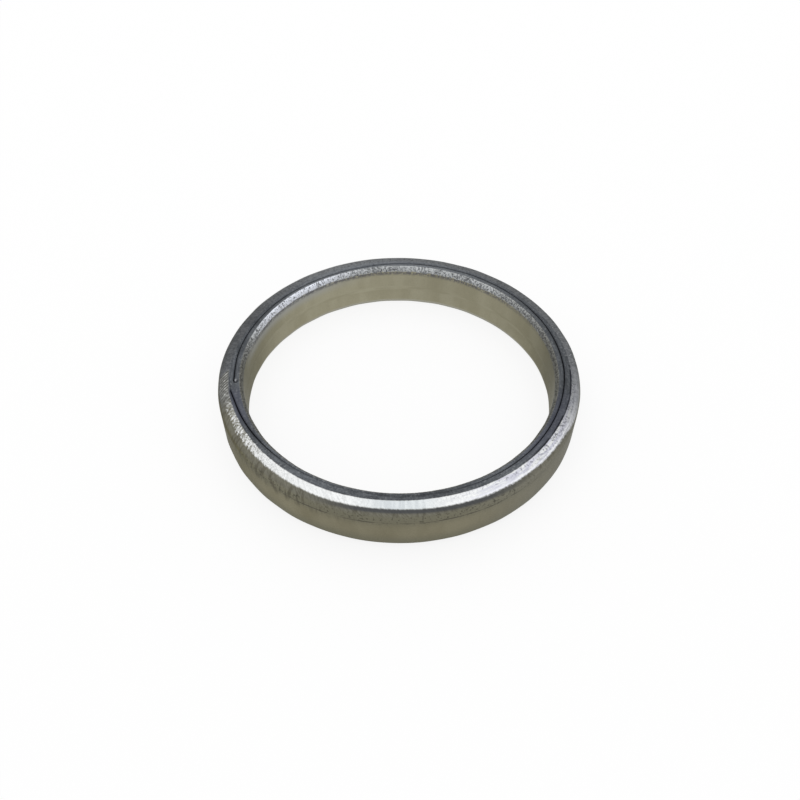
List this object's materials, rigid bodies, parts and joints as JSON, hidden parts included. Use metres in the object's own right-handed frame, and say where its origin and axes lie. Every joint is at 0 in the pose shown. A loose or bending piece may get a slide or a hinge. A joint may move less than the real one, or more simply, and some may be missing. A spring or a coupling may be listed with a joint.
{
  "type": "exhaust gasket",
  "caption": "Round metal exhaust gasket: a ring rolled from strip, with a plain bore, flat end faces that show the seam between its turns, and rounded outer shoulders.",
  "frame": {"origin": "middle of the lower end face, on the ring's axis", "axes": "+Z along the ring's axis, up from the lower face to the upper one; -X points at the joggle, where the strip's inner end lies"},
  "size_m": [0.056, 0.056, 0.008],
  "materials": {
    "ring_steel": "pressed and burnished steel strip, dull olive-grey walls, dark end faces and bright shoulders"
  },
  "bodies": {
    "root": {"gasket_ring": "ring_steel"}
  },
  "joints": []
}
